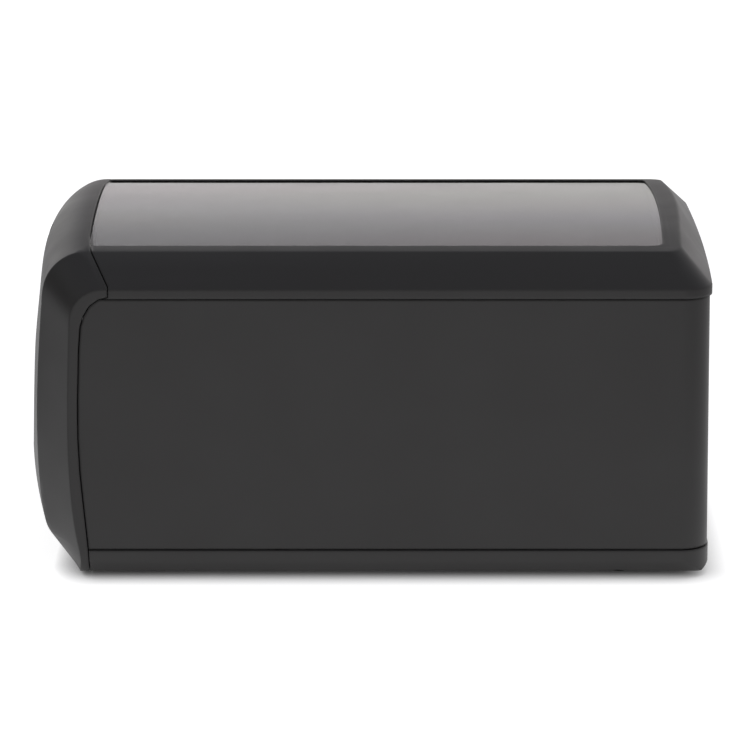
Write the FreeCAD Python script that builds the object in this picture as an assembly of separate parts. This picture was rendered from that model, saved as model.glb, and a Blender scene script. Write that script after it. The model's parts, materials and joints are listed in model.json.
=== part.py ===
"""Countertop interfold-napkin dispenser, built as separate named pieces (mm, +Z up).

The origin is on the counter plane, under the middle of the overall length and width.
The dispensing front faces -X. The front drops open about a hinge at its lower rear edge.
"""
import FreeCAD, Part
import math
import os
from FreeCAD import Vector as V

# ---- driving sizes ----------------------------------------------------------------------
body_length = 307.0         # foremost point of the front to the middle of the rear wall
body_width = 198.0          # over the base rim and the cover band
body_height = 149.0         # base underside to the crown of the cover
foot_height = 1.5
wall = 2.5
base_rim = 12.4             # height of the base's side wall
front_gap = 0.45            # seam between the front and everything behind it
seam_gap = 0.5             # seams under and over the body shell
body_set_in = 0.3           # body wall inside the base rim and cover band
body_draft = 0.7            # further lean of the body wall over its height
rear_corner_r = 13.5
rear_bow = 2.0              # plan bow of the rear wall
base_round = 11.0           # round along the lower side and rear edges
crease_r = 1.8              # soft edges of the facets
shoulder_r = 0.7
crown_rise = 5.5            # crown of the cover between its two creases
facet_rise = 13.0           # height of the long facet
facet_run = 19.0            # its width seen from above
window_half = 72.5          # visible half width of the display window
window_end = 21.0           # rear wall to the middle of the window's visible rear edge
window_thickness = 2.0
window_drop = 0.6           # window surface under the rim around it
window_lap = 2.0            # window edge hidden in its groove
card_gap = 0.6
napkin_length = 165.0       # folded napkin, across the dispenser
napkin_height = 108.0
stack_slack = 3.0           # each side of the stack
tray_level = 13.0           # underside of the magazine floor over the base underside
tray_floor = 2.0
tray_wall = 2.0
guide_height = 62.0
rod_r = 2.0
rod_half = 45.0             # guide rods each side of the middle
rod_level = 7.8
bush_wall = 1.5
slide_clearance = 0.05      # radial running fit
pusher_travel = 195.0
pusher_thickness = 2.5
carriage_length = 24.3
spring_wire_r = 0.4
spring_mean_r = 3.2
spring_coils = 30
mouth_half_length = 58.0    # opening in the front, half sizes
mouth_half_height = 25.0
slot_half_length = 50.0     # dispensing slot in the mouth insert
slot_half_height = 15.0
hinge_r = 2.4               # knuckle radius
hinge_toe_r = 4.2           # sweep of the front's lower corner about the hinge
base_sink = 5.0             # depth of the base screws' access holes
hinge_pin_r = 1.0
hinge_half = 62.0
hinge_clearance = 0.3
lock_sleeve_r = 6.0
lock_barrel_r = 4.2
lock_drop = 17.5            # crown to the lock axis
cam_reach = 8.6
cam_half = 3.5
cam_hub_r = 4.6
screw_r = 1.5
screw_clearance = 0.05
foot_r = 8.0

# ---- derived levels and stations --------------------------------------------------------
z0 = foot_height
crown_z = z0 + body_height
crease_z = crown_z - crown_rise
shoulder_z = crease_z - facet_rise
cover_seam_z = shoulder_z - 4.2
half = body_width / 2
crease_half = half - facet_run
x_front, x_rear = -body_length / 2, body_length / 2
table_height = 149.0        # height the outline tables below are drawn for
hinge_x, hinge_z = x_front + 26.0, z0 + hinge_r
lock_z = crown_z - lock_drop
tray_z = z0 + tray_level
floor_z = tray_z + tray_floor
rod_z = z0 + rod_level
stack_half = napkin_length / 2 + stack_slack / 2


def level(h):
    """Outline-table height to Z: ends keep their sizes and the middle stretches."""
    low, high = 30.0, 103.0
    if h <= low:
        return z0 + h
    if h >= high:
        return crown_z - (table_height - h)
    return z0 + low + (h - low) * (body_height - table_height + high - low) / (high - low)


def arc_points(cx, ch, r):
    """Poles of a quarter round from straight ahead to straight up, as table points."""
    out = 1.0164 * r            # a cubic curve runs this much inside evenly turned poles
    return [(cx - out * math.cos(math.radians(a)), ch + out * math.sin(math.radians(a)))
            for a in (0, 18, 36, 54, 72)] + [(cx - 0.11 * r, ch + r), (cx, ch + r)]


# outline tables: distance behind the foremost point, height over the base underside
parting = [(30.5, -20), (30.5, 0), (29.8, 12.8), (28.2, 30), (26.7, 47), (26, 63), (26.1, 80),
           (26.9, 103), (27.7, 113.5), (29.2, 118.5), (31.9, 123), (36, 126), (40, 127),
           (40, 131.3), (30.3, 145.8), (30, 149), (30, 170)]
side_outline = [(27.6, 0), (26.1, 11.4), (25.5, 14), (24.6, 18.5), (23.3, 27), (22.2, 40),
                (21.4, 58), (21.6, 78), (22.1, 96), (22.6, 107)] + arc_points(37.5, 116, 14.5)
edge_outline = [(22.9, 0.6), (12.3, 14.9), (10.6, 17.4), (9.5, 21), (8.3, 29), (7.1, 42),
                (6.5, 60), (6.9, 80), (8.0, 100), (9.1, 113)] + arc_points(30, 123.5, 20)
middle_outline = [(22.9, 0.6), (6.2, 21.5), (3.4, 25.1), (1.7, 29.3), (0.3, 36.5), (0, 47),
                  (0.2, 60), (1.0, 80), (2.8, 100), (4.5, 113)] + arc_points(28, 127.4, 21.6)


# ---- small helpers ----------------------------------------------------------------------
def box(x0, x1, y0, y1, za, zb):
    return Part.makeBox(x1 - x0, y1 - y0, zb - za, V(x0, y0, za))


def rod_x(x0, x1, y, z, r):
    return Part.makeCylinder(r, x1 - x0, V(x0, y, z), V(1, 0, 0))


def rod_y(y0, y1, x, z, r):
    return Part.makeCylinder(r, y1 - y0, V(x, y0, z), V(0, 1, 0))


def post(x, y, za, zb, r):
    return Part.makeCylinder(r, zb - za, V(x, y, za))


def fuse(shapes):
    shapes = list(shapes)
    return shapes[0].multiFuse(shapes[1:]).removeSplitter() if shapes[1:] else shapes[0]


def cut(shape, tools):
    return shape.cut(list(tools)).removeSplitter()


def prism_y(points, y0=-200.0, y1=200.0):
    """Solid between y0 and y1 with an XZ polygon for its section."""
    wire = Part.makePolygon([V(x, y0, z) for x, z in points + points[:1]])
    return Part.Face(wire).extrude(V(0, y1 - y0, 0))


def stadium(x0, x1, z, half_length, half_height):
    """Slot-shaped solid running along X, long across Y."""
    flat = half_length - half_height
    return fuse([box(x0, x1, -flat, flat, z - half_height, z + half_height)]
                + [rod_x(x0, x1, s * flat, z, half_height) for s in (-1, 1)])


def soften(shape, radius, wanted):
    """Round the edges whose middle point passes the test."""
    edges = [e for e in shape.Edges if wanted(e, e.valueAt((e.FirstParameter + e.LastParameter) / 2))]
    return shape.makeFillet(radius, edges) if edges else shape


def mirrored(make):
    """The same piece on both sides of the middle plane."""
    return [make(s) for s in (-1, 1)]


# ---- outer and inner forms --------------------------------------------------------------
def shifted(points, distance):
    """Polyline moved sideways; a positive distance goes to the right of its direction."""
    out = []
    for i, (x, z) in enumerate(points):
        (xa, za), (xb, zb) = points[max(i - 1, 0)], points[min(i + 1, len(points) - 1)]
        n = math.hypot(xb - xa, zb - za)
        out.append((x + distance * (zb - za) / n, z - distance * (xb - xa) / n))
    return out


def parting_line(side):
    """Seam behind the front: side -1 bounds the front, +1 what is behind it."""
    return shifted([(x_front + o, level(h)) for o, h in parting], side * front_gap / 2)


def front_region():
    return prism_y([(x_front - 40, z0 - 20)] + parting_line(-1) + [(x_front - 40, crown_z + 20)])


def rear_region():
    return prism_y([(x_rear + 40, z0 - 20)] + parting_line(1) + [(x_rear + 40, crown_z + 20)])


def smooth_curve(poles):
    """Cubic curve drawn by its poles, on the same knots for every section."""
    spans = len(poles) - 3
    curve = Part.BSplineCurve()
    curve.buildFromPolesMultsKnots(poles, [4] + [1] * (spans - 1) + [4],
                                   [float(k) for k in range(spans + 1)], False, 3)
    return curve.toShape()


def front_section(table, y, drop, inset):
    """Closed XZ wire of the front form at one Y."""
    pts = shifted([(x_front + o, level(h)) for o, h in table], inset)
    (xa, za), (xb, zb) = pts[0], pts[1]
    floor = z0 + inset
    xa, za = xa + (xb - xa) * (floor - za) / (zb - za), floor
    pts[-2:] = [(x, level(table[-1][1]) - drop) for x, _ in pts[-2:]]
    at = [V(x, y, z) for x, z in pts[1:]]
    start, back = V(xa, y, za), x_front + 70
    corners = [at[-1], V(back, y, at[-1].z), V(back, y, za), start]
    edges = [Part.makeLine(start, at[0]), smooth_curve(at)]
    edges += [Part.makeLine(a, b) for a, b in zip(corners, corners[1:])]
    return Part.Wire(edges)


def lower_edges(inset=0.0, floor=0.0):
    """Long block whose two lower side edges are rounded."""
    r, y, low, high = base_round - inset, half - inset + 0.6, z0 + floor, crown_z + 40
    turn = r * math.sin(math.pi / 4)
    pts = [V(-400, -y, low + r), V(-400, -y, high), V(-400, y, high), V(-400, y, low + r)]
    mids = [V(-400, y - r + turn, low + r - turn), V(-400, -y + r - turn, low + r - turn)]
    feet = [V(-400, y - r, low), V(-400, -y + r, low)]
    edges = [Part.makeLine(a, b) for a, b in zip(pts, pts[1:])]
    edges += [Part.Arc(pts[3], mids[0], feet[0]).toShape(), Part.makeLine(feet[0], feet[1]),
              Part.Arc(feet[1], mids[1], pts[0]).toShape()]
    return Part.Face(Part.Wire(edges)).extrude(V(800, 0, 0))


def front_form(inset=0.0):
    """Bowed front with the long facet carried round its edge."""
    y_side, y_edge = half - inset, crease_half - 0.37 * inset
    bow = Part.makeLoft([front_section(edge_outline, -y_edge, 0.96 * inset, inset),
                         front_section(middle_outline, 0, inset, inset),
                         front_section(edge_outline, y_edge, 0.96 * inset, inset)], True, False)
    sides = [Part.makeLoft([front_section(side_outline, s * y_side, 0.527 * inset, inset),
                            front_section(edge_outline, s * y_edge, 0.96 * inset, inset)],
                           True, True) for s in (-1, 1)]
    whole = bow.multiFuse(sides).removeSplitter().Solids[0]
    return whole.common(lower_edges(inset, inset)).Solids[0]


def plan_wire(z, y_half, x_mid, bow, r):
    """Plan outline with a bowed rear edge and rounded rear corners."""
    big = (y_half ** 2 + bow ** 2) / (2 * bow)
    xc = x_mid - big
    cx, cy = xc + math.sqrt((big - r) ** 2 - (y_half - r) ** 2), y_half - r
    dx, dy = (cx - xc) / (big - r), cy / (big - r)
    mx, my = dx, dy + 1.0
    n = math.hypot(mx, my)
    front = x_front + 16

    def p(x, y):
        return V(x, y, z)

    tangent, rear = (cx, y_half), (xc + big * dx, big * dy)
    mid = (cx + r * mx / n, cy + r * my / n)
    return Part.Wire([
        Part.makeLine(p(front, -y_half), p(tangent[0], -y_half)),
        Part.Arc(p(tangent[0], -y_half), p(mid[0], -mid[1]), p(rear[0], -rear[1])).toShape(),
        Part.Arc(p(rear[0], -rear[1]), p(x_mid, 0), p(*rear)).toShape(),
        Part.Arc(p(*rear), p(*mid), p(*tangent)).toShape(),
        Part.makeLine(p(*tangent), p(front, y_half)),
        Part.makeLine(p(front, y_half), p(front, -y_half))])


def crown_form(depth, y_half, x0, x1, low):
    """Solid under the crowned top, a depth below its surface."""
    curve = Part.BezierCurve()
    edge = crown_z - depth - crown_rise * (y_half / crease_half) ** 2
    peak = 2 * (crown_z - depth) - edge
    curve.setPoles([V(x0, -y_half, edge), V(x0, 0, peak), V(x0, y_half, edge)])
    pts = [V(x0, y_half, edge), V(x0, y_half, low), V(x0, -y_half, low), V(x0, -y_half, edge)]
    wire = Part.Wire([curve.toShape()] + [Part.makeLine(a, b) for a, b in zip(pts, pts[1:])])
    return Part.Face(wire).extrude(V(x1 - x0, 0, 0))


def cover_form(inset=0.0):
    """Band, facets and crown of everything behind the front seam."""
    top = crown_z + 2
    z_sh = shoulder_z - 0.527 * inset
    rise = top - z_sh
    block = Part.makeLoft([
        plan_wire(cover_seam_z - 30, half - inset, x_rear - inset, rear_bow, rear_corner_r - inset),
        plan_wire(z_sh, half - inset, x_rear - inset, rear_bow, rear_corner_r - inset),
        plan_wire(top, half - inset - rise * facet_run / facet_rise,
                  x_rear - inset - rise * 0.65, 4 * rear_bow, 4.0)], True, True)
    form = block.common(crown_form(inset, half, x_front, x_rear, z0 - 30))
    if inset:
        return form
    form = soften(form, crease_r, lambda e, p: p.z > crease_z - 0.3 and p.x > x_front + 17)
    return soften(form, shoulder_r, lambda e, p: abs(p.z - shoulder_z) < 0.01 and p.x > x_front + 17)


def body_form(inset=0.0):
    """Leaning side and rear walls between the two seams."""
    low, high = z0 + base_rim - 10, cover_seam_z + 10
    wires = []
    for z, lean in ((low, 0.0), (high, body_draft)):
        d = inset + body_set_in + lean
        wires.append(plan_wire(z, half - d, x_rear - d, rear_bow, rear_corner_r - inset))
    return Part.makeLoft(wires, True, True)


def base_form(inset=0.0, floor=0.0):
    """Base outline with a large round along its lower rear edge."""
    r = base_round - inset
    low, high = z0 + floor, z0 + base_rim + 20
    block = Part.makeLoft([plan_wire(z, half - inset, x_rear - inset, rear_bow,
                                     rear_corner_r - inset) for z in (low - 8, high)], True, True)
    x1 = x_rear - inset + 0.6
    pts = [V(x1, -200, low + r), V(x1, -200, high), V(x_front, -200, high), V(x_front, -200, low),
           V(x1 - r, -200, low)]
    turn = Part.Arc(pts[-1], V(x1 - r + r * math.sin(math.pi / 4), -200,
                               low + r - r * math.cos(math.pi / 4)), pts[0]).toShape()
    edges = [Part.makeLine(a, b) for a, b in zip(pts, pts[1:])] + [turn]
    block = block.common(Part.Face(Part.Wire(edges)).extrude(V(0, 400, 0)))
    return block.common(lower_edges(inset, floor)).Solids[0]


# ---- fasteners --------------------------------------------------------------------------
def screw(at, direction, length, head_r=2.8, head_h=1.6):
    """Pan-head screw with a cross recess; `at` is the underside of its head."""
    d = V(*direction)
    head = Part.makeCylinder(head_r, head_h, V(*at), d * -1)
    shank = Part.makeCylinder(screw_r, length - 1.0, V(*at), d)
    tip = Part.makeCone(screw_r, 0.4, 1.0, V(*at) + d * (length - 1.0), d)
    arms = []
    for turn in (0, 90):
        arm = box(-1.9, 1.9, -0.35, 0.35, -1.0, 0.2)
        arm.rotate(V(0, 0, 0), V(0, 0, 1), turn)
        arm.Placement = FreeCAD.Placement(V(*at) - d * head_h,
                                          FreeCAD.Rotation(V(0, 0, 1), d * -1)).multiply(arm.Placement)
        arms.append(arm)
    return cut(fuse([head, shank, tip]), arms)


def pilot(at, direction, depth):
    return Part.makeCylinder(screw_r + screw_clearance, depth, V(*at), V(*direction))


# stations shared by the screws and what they hold
body_boss_x = (x_front + 75, 8.0, x_rear - 42)
body_boss_y = half - wall - 5.0
tray_post = [(x, s * 70.0) for x in (x_front + 52, x_rear - 44) for s in (-1, 1)]
cover_tab_x = (x_front + 62, 0.0, x_rear - 36)
cover_tab_y = half - wall - 7.5
cover_tab_z = cover_seam_z - 9.0
insert_boss = [(s * 72.0, z) for s in (-1, 1) for z in (z0 + 30, z0 + 112)]
x_insert = x_front + 25.0              # front face of the mouth insert's plate
x_base_in = x_front + 30.5 + front_gap / 2 + wall
x_bracket = x_base_in + 0.35           # front rod bracket, rear rod bracket
bracket_t = 4.0
x_carriage = x_bracket + bracket_t + 0.4
x_spring = x_carriage + carriage_length
x_rear_bracket = x_rear - 19.5
x_pusher = x_front + 31.5
foot_at = [(x, s * 78.0) for x in (x_front + 58, x_rear - 40) for s in (-1, 1)]
ballast_y = (56.5, 84.0)
ballast_x = (x_front + 85, x_rear - 75)
ballast_screw = [(x, s * 64.0) for x in (ballast_x[0] + 12, ballast_x[1] - 12) for s in (-1, 1)]
bracket_screw_y = 30.0
strike_screw_y = 9.0
strike_x = x_front + 29.9


# ---- shell pieces -----------------------------------------------------------------------
def base_tray():
    rim = z0 + base_rim - seam_gap
    lip = rim + 3.5
    outer = base_form().common(box(-400, 400, -200, 200, z0 - 1, rim))
    inner = base_form(wall, wall).common(rear_region().translated(V(wall, 0, 0)))
    shell = outer.cut(inner)
    core = base_form(wall + 2.2, wall)
    ring = fuse([base_form(wall - 0.5, wall).cut(core).common(box(x_front + 46, 400, -200, 200, rim - 2.6, rim)),
                 base_form(wall + 0.5, wall).cut(core).common(box(x_front + 46, 400, -200, 200, rim - 1, lip))])
    parts = [shell, ring]
    parts += [post(x, y, z0 + 1, tray_z, 4.0) for x, y in tray_post]
    within = base_form(1.0, 1.0)
    parts += [post(x, s * body_boss_y, z0 + 0.5, z0 + base_rim - seam_gap, 4.2).common(within)
              for x in body_boss_x for s in (-1, 1)]
    parts += [box(-90.0, 95.0, s * 22 - 0.9, s * 22 + 0.9, z0 + 1, z0 + 3.1) for s in (-1, 1)]
    body = fuse(parts).common(rear_region())
    lugs = []
    for s in (-1, 1):
        y0, y1 = s * hinge_half - 4, s * hinge_half + 4
        lugs += [rod_y(y0, y1, hinge_x, hinge_z, hinge_r),
                 box(hinge_x, x_base_in, y0, y1, hinge_z - hinge_r, hinge_z + hinge_r)]
    relief = rod_y(-200, 200, hinge_x, hinge_z, hinge_toe_r + hinge_clearance)
    body = fuse([cut(body, [relief])] + lugs)
    tools = [pilot((x, y, tray_z), (0, 0, -1), 9.5) for x, y in tray_post]
    for x in body_boss_x:
        for s in (-1, 1):
            tools += [pilot((x, s * body_boss_y, z0 - 1), (0, 0, 1), 20),
                      post(x, s * body_boss_y, z0 - 1, z0 + base_sink, 3.1)]
    tools += [pilot((x, y, z0 - 1), (0, 0, 1), 5) for x, y in ballast_screw]
    tools += [post(x, y, z0 - 1, z0 + 0.9, 3.1) for x, y in ballast_screw]
    tools += [pilot((x, s * bracket_screw_y, z0 - 1), (0, 0, 1), 5)
              for x in (x_bracket + 2, x_rear_bracket + 2) for s in (-1, 1)]
    tools += [post(x, s * bracket_screw_y, z0 - 1, z0 + 0.9, 3.1)
              for x in (x_bracket + 2, x_rear_bracket + 2) for s in (-1, 1)]
    tools += [post(x, y, z0 - 0.1, z0 + 1.0, foot_r + 0.05) for x, y in foot_at]
    tools += [rod_y(y0, y1, hinge_x, hinge_z, hinge_pin_r + 0.04) for y0, y1 in ((-75, -50), (50, 75))]
    return cut(body, tools)


def body_shell():
    low, high = z0 + base_rim, cover_seam_z - seam_gap
    band = box(-400, 400, -200, 200, low, high)
    shell = body_form().cut(body_form(wall)).common(band)
    parts = [shell]
    for s in (-1, 1):
        wall_y = half - wall + 0.6
        for x in body_boss_x:
            parts.append(post(x, s * body_boss_y, low, low + 22, 4.2))
            parts.append(box(x - 1, x + 1, min(s * body_boss_y, s * wall_y),
                             max(s * body_boss_y, s * wall_y), low, low + 22))
        for x in cover_tab_x:
            parts.append(box(x - 7, x + 7, min(s * (cover_tab_y - 5), s * wall_y),
                             max(s * (cover_tab_y - 5), s * wall_y), cover_tab_z - 2.5, cover_tab_z))
        ridge = box(x_front + 31, x_front + 33, min(s * (wall_y - 5), s * wall_y),
                    max(s * (wall_y - 5), s * wall_y), low, level(112))
        parts.append(ridge)
    body = fuse(parts).common(rear_region())
    tools = [pilot((x, s * body_boss_y, low - 1), (0, 0, 1), 13) for x in body_boss_x for s in (-1, 1)]
    tools += [pilot((x, s * cover_tab_y, cover_tab_z - 4), (0, 0, 1), 8)
              for x in cover_tab_x for s in (-1, 1)]
    keep_out = base_form(wall + 0.35).cut(base_form(wall + 2.4)).common(
        box(x_front + 45, 400, -200, 200, low - 1, low + 3.6))
    return cut(body, tools + [keep_out])


def window_plan(x1):
    """Block over the window with a bowed rear edge and rounded corners."""
    return Part.makeLoft([plan_wire(z, window_half, x1, 0.9 * rear_bow, 4.5)
                          for z in (crown_z - 20, crown_z + 10)], True, True)


window_depth = window_drop + window_thickness + 2 * 0.1
pocket_depth = window_depth + card_gap


def window_layer(top, bottom, y_half, x1):
    return crown_form(top, y_half, x_front + 20, x1, crown_z - 25).cut(
        crown_form(bottom, y_half + 2, x_front + 18, x1 + 2, crown_z - 30))


def top_cover():
    skin = cover_form().cut(cover_form(wall))
    floor = window_layer(0, pocket_depth + 1.8, window_half + window_lap + 1.6,
                         x_rear - window_end + window_lap + 1.6).common(cover_form())
    core = body_form(wall + 2.0)
    lip = body_form(wall + 0.2).cut(core).common(
        box(-400, 400, -200, 200, cover_seam_z - 3.5, cover_seam_z + 1))
    ledge = cover_form(wall - 0.5).cut(core).common(
        box(-400, 400, -200, 200, cover_seam_z, cover_seam_z + 1.8))
    parts = [skin.common(box(-400, 400, -200, 200, cover_seam_z, 400)), floor, lip, ledge]
    top = cover_form(1.0)
    for s in (-1, 1):
        for x in cover_tab_x:
            tower = fuse([post(x, s * cover_tab_y, cover_tab_z, crown_z, 4.0),
                          box(x - 1, x + 1, min(s * cover_tab_y, s * (half - wall - 0.6)),
                              max(s * cover_tab_y, s * (half - wall - 0.6)), cover_seam_z + 0.5, crown_z)])
            parts.append(tower.common(top))
        parts.append(post(strike_x + 5.5, s * strike_screw_y, crown_z - pocket_depth - 3.6,
                          crown_z - pocket_depth - 1, 3.4))
    body = fuse(parts).common(rear_region())
    x_vis = x_rear - window_end
    opening = window_plan(x_vis).cut(crown_form(window_drop, 90, x_front, x_rear, crown_z - 40))
    groove = window_layer(window_drop, window_depth, window_half + window_lap, x_vis + window_lap)
    card = window_layer(window_depth - 0.2, pocket_depth, window_half - 0.8, x_vis - 3.0)
    tools = [opening, groove, card]
    tools += [pilot((x, s * cover_tab_y, cover_tab_z - 1), (0, 0, 1), 12)
              for x in cover_tab_x for s in (-1, 1)]
    tools += [pilot((strike_x + 5.5, s * strike_screw_y, crown_z - pocket_depth - 4), (0, 0, 1), 3.9)
              for s in (-1, 1)]
    tab_keep = [box(x - 7.3, x + 7.3, -half, half, cover_tab_z - 3, cover_tab_z) for x in cover_tab_x]
    return cut(body, tools + tab_keep)


def display_window():
    x_end = x_rear - window_end + window_lap - 0.2
    pane = window_layer(window_drop + 0.1, window_depth - 0.1, window_half + window_lap - 0.2, x_end)
    front = prism_y([(x_rear + 40, z0)] + shifted(parting_line(1), 0.3) + [(x_rear + 40, crown_z + 20)])
    return pane.common(front)


# ---- front ------------------------------------------------------------------------------
def hinge_space(s, grow):
    """Room the base lug needs inside the front."""
    y0, y1 = s * hinge_half - 4 - grow, s * hinge_half + 4 + grow
    r = hinge_r + grow
    return [rod_y(y0, y1, hinge_x, hinge_z, r),
            box(hinge_x, hinge_x + 12, y0, y1, z0 - 10, hinge_z + r),
            prism_y([(hinge_x, hinge_z), (hinge_x - 0.75 * r, hinge_z - 0.75 * r),
                     (hinge_x - 0.75 * r, z0 - 10), (hinge_x + 5, z0 - 10)], y0, y1)]


def front_bezel():
    outer, inner = front_form(), front_form(wall)
    shell = outer.cut(inner)
    parts = [shell]
    for y, z in insert_boss:
        parts.append(rod_x(x_front, x_insert, y, z, 3.8).common(front_form(1.0)))
    parts.append(rod_x(x_front, x_lock + 8, 0, lock_z, lock_sleeve_r + 2.6).common(front_form(1.0)))
    body = fuse(parts).common(front_region())
    tip = rod_y(-half, half, hinge_x, hinge_z, hinge_r)
    corner = box(hinge_x, hinge_x + 10, -200, 200, z0 - 1, hinge_z).cut(
        rod_y(-201, 201, hinge_x, hinge_z, hinge_toe_r))
    body = body.cut(corner)
    for s in (-1, 1):
        for a, b in ((-9.7, -4.3), (4.3, 9.7)):
            y0, y1 = s * hinge_half + a, s * hinge_half + b
            web = prism_y([(hinge_x, hinge_z + hinge_r), (hinge_x, hinge_z - hinge_r),
                           (hinge_x - 6, hinge_z - hinge_r), (hinge_x - 6, hinge_z + hinge_r)], y0, y1)
            body = body.fuse([tip.common(box(-400, 400, y0, y1, -50, 50)), web.common(outer)])
    tools = [stadium(x_front - 10, x_front + 20, z0 + mouth_level, mouth_half_length, mouth_half_height),
             rod_x(x_front - 5, x_lock + 1.2, 0, lock_z, lock_sleeve_r + 1.4),
             rod_x(x_front, x_front + 40, 0, lock_z, lock_sleeve_r + 0.02)]
    tools += [pilot((x_insert + 1, y, z), (-1, 0, 0), 12) for y, z in insert_boss]
    tools += [rod_y(s * hinge_half - 9.5, s * hinge_half + 9.5, hinge_x, hinge_z, hinge_pin_r + 0.01)
              for s in (-1, 1)]
    for s in (-1, 1):
        tools += hinge_space(s, 0.3)
    return cut(body, tools)


mouth_level = tray_level + tray_floor + napkin_height / 2


def mouth_insert():
    z = z0 + mouth_level
    limit = front_form(wall + 0.3)
    plate = box(x_insert, x_insert + 2, -84, 84, z0 + 20, z0 + 121)
    plate = soften(plate, 6, lambda e, p: abs(p.x - x_insert - 1) < 0.01)

    def slot_wire(x, a, b):
        f = a - b
        pts = [V(x, -f, z - b), V(x, f, z - b), V(x, f + b, z), V(x, f, z + b),
               V(x, -f, z + b), V(x, -f - b, z)]
        return Part.Wire([Part.makeLine(pts[0], pts[1]), Part.Arc(pts[1], pts[2], pts[3]).toShape(),
                          Part.makeLine(pts[3], pts[4]), Part.Arc(pts[4], pts[5], pts[0]).toShape()])

    def funnel(extra, x0, x1):
        return Part.makeLoft([slot_wire(x1, slot_half_length + extra, slot_half_height + extra),
                              slot_wire(x0, mouth_half_length + 1.5 + extra,
                                        mouth_half_height + 1.5 + extra)], True, True)

    horn = funnel(2.0, x_front, x_insert + 1).common(limit)
    body = fuse([plate, horn])
    body = cut(body, [funnel(0.0, x_front - 0.1, x_insert + 2.1)]
               + [pilot((x_insert - 1, y, zz), (1, 0, 0), 4) for y, zz in insert_boss])
    fingers = []
    for y in (-24.0, 24.0):
        for s in (-1, 1):
            za, zb = sorted((z + s * (slot_half_height - 4.5), z + s * (slot_half_height + 1.5)))
            fingers.append(soften(box(x_insert, x_insert + 2, y - 6, y + 6, za, zb), 2.0,
                                  lambda e, p: abs(p.x - x_insert - 1) < 0.01
                                  and abs(abs(p.z - z) - slot_half_height + 4.5) < 0.1))
    return fuse([body] + fingers)


def hinge_pins():
    return mirrored(lambda s: rod_y(s * hinge_half - 9.4, s * hinge_half + 9.4, hinge_x, hinge_z,
                                    hinge_pin_r))


# ---- lock -------------------------------------------------------------------------------
x_lock = x_front + 10.2


def lock_sleeve():
    body = fuse([rod_x(x_lock, x_lock + 1.2, 0, lock_z, lock_sleeve_r + 1.2),
                 rod_x(x_lock, strike_x - 1.4, 0, lock_z, lock_sleeve_r)])
    rim = body.cut(rod_x(x_lock - 1, strike_x, 0, lock_z, lock_barrel_r + slide_clearance))
    return rim.removeSplitter()


def lock_barrel():
    body = fuse([rod_x(x_lock + 0.5, strike_x + 1.5, 0, lock_z, lock_barrel_r),
                 box(strike_x + 1.4, strike_x + 3.1, -2.4, 2.4, lock_z - 2.4, lock_z + 2.4)])
    return cut(body, [box(x_lock, x_lock + 8, -0.6, 0.6, lock_z - 2.6, lock_z + 2.6),
                      pilot((strike_x + 3.5, 0, lock_z), (-1, 0, 0), 9)])


def lock_nut():
    flats = 8.6
    pts = [V(x_lock + 8.1, flats * math.cos(math.radians(60 * i)),
             lock_z + flats * math.sin(math.radians(60 * i))) for i in range(7)]
    nut = Part.Face(Part.makePolygon(pts)).extrude(V(3.0, 0, 0))
    return nut.cut(rod_x(x_front, x_rear, 0, lock_z, lock_sleeve_r + 0.02))


def lock_cam():
    x0, x1 = strike_x + 1.55, strike_x + 3.0
    arm = fuse([rod_x(x0, x1, 0, lock_z, cam_hub_r),
                box(x0, x1, 0, cam_reach - 2, lock_z - cam_half, lock_z + cam_half),
                rod_x(x0, x1, cam_reach - 2, lock_z, 2.0),
                box(x0, x1, cam_reach - 3, cam_reach - 2, lock_z - 2, lock_z + 2)])
    return cut(arm, [box(x0 - 1, x1 + 1, -2.45, 2.45, lock_z - 2.45, lock_z + 2.45)])


def cam_screw():
    return screw((strike_x + 3.12, 0, lock_z), (-1, 0, 0), 8, 3.4, 1.5)


def lock_strike():
    top = crown_z - pocket_depth - 3.6
    flange = box(strike_x, strike_x + 11, -15, 15, top - 1.2, top)
    lip = box(strike_x, strike_x + 1.2, -15, 15, top - 5.2, top)
    holes = [pilot((strike_x + 5.5, s * strike_screw_y, top - 2), (0, 0, 1), 4) for s in (-1, 1)]
    return cut(fuse([flange, lip]), holes)


# ---- magazine and pusher ----------------------------------------------------------------
tray_x = (x_front + 31.8, x_rear - 25.5)
slot_x = (x_carriage + 1.2, x_carriage + carriage_length + pusher_travel + 0.5)


def magazine_tray():
    y = stack_half + tray_wall
    body = [box(*tray_x, -y, y, tray_z, floor_z)]
    for s in (-1, 1):
        y0, y1 = sorted((s * stack_half, s * y))
        side = box(*tray_x, y0, y1, tray_z, tray_z + guide_height)
        body.append(soften(side, 18, lambda e, p: p.z > tray_z + guide_height - 0.1
                           and abs(abs(p.y) - stack_half - tray_wall / 2) < 0.1))
        body += [box(tray_x[0], tray_x[1], s * 30 - 1, s * 30 + 1, floor_z, floor_z + 0.6)]
    tray = fuse(body)
    tools = [box(*slot_x, -4.0, 4.0, tray_z - 1, floor_z + 1)]
    tools += [pilot((x, y, tray_z - 1), (0, 0, 1), 5) for x, y in tray_post]
    return cut(tray, tools)


def guide_rods():
    return mirrored(lambda s: rod_x(x_bracket + 0.5, x_rear_bracket + bracket_t - 0.5,
                                    s * rod_half, rod_z, rod_r))


def rod_bracket(x0):
    top = tray_z - 0.4
    bar = box(x0, x0 + bracket_t, -52, 52, z0 + wall, top)
    bar = soften(bar, 2.0, lambda e, p: abs(p.z - top) < 0.01 and abs(abs(p.y) - 52) < 0.01)
    tools = [rod_x(x_bracket + 0.5, x_rear_bracket + bracket_t - 0.5, s * rod_half, rod_z, rod_r + 0.01)
             for s in (-1, 1)]
    tools += [pilot((x0 + 2, s * bracket_screw_y, z0), (0, 0, 1), 9) for s in (-1, 1)]
    return cut(bar, tools)


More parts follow.
